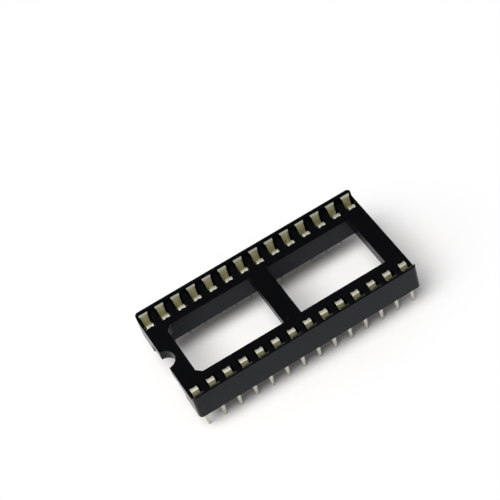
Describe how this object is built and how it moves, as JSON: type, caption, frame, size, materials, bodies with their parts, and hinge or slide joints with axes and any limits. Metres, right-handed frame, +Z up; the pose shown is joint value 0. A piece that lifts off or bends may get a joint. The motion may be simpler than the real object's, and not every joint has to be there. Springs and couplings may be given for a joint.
{
  "type": "ic socket",
  "caption": "Wide dual in-line chip socket: a black moulded frame with two windows and a polarity notch, and two rows of sprung dual-leaf contacts with solder tails.",
  "frame": {"origin": "centre of the pin grid, on the plane of the circuit board: the undersides of the stand-off pads", "axes": "+X along the rows, from the polarity notch towards the plain end; +Y across the rows, towards the row with the higher pin numbers; +Z up out of the board, towards the chip"},
  "size_m": [0.0352, 0.0178, 0.0082],
  "materials": {
    "housing": "moulded glass-filled polyester, fine satin",
    "contact": "phosphor bronze strip with bright tin plate"
  },
  "bodies": {
    "root": {"housing": "housing", "contact_01": "contact", "contact_02": "contact", "contact_03": "contact", "contact_04": "contact", "contact_05": "contact", "contact_06": "contact", "contact_07": "contact", "contact_08": "contact", "contact_09": "contact", "contact_10": "contact", "contact_11": "contact", "contact_12": "contact", "contact_13": "contact", "contact_14": "contact", "contact_15": "contact", "contact_16": "contact", "contact_17": "contact", "contact_18": "contact", "contact_19": "contact", "contact_20": "contact", "contact_21": "contact", "contact_22": "contact", "contact_23": "contact", "contact_24": "contact", "contact_25": "contact", "contact_26": "contact", "contact_27": "contact", "contact_28": "contact"}
  },
  "joints": []
}
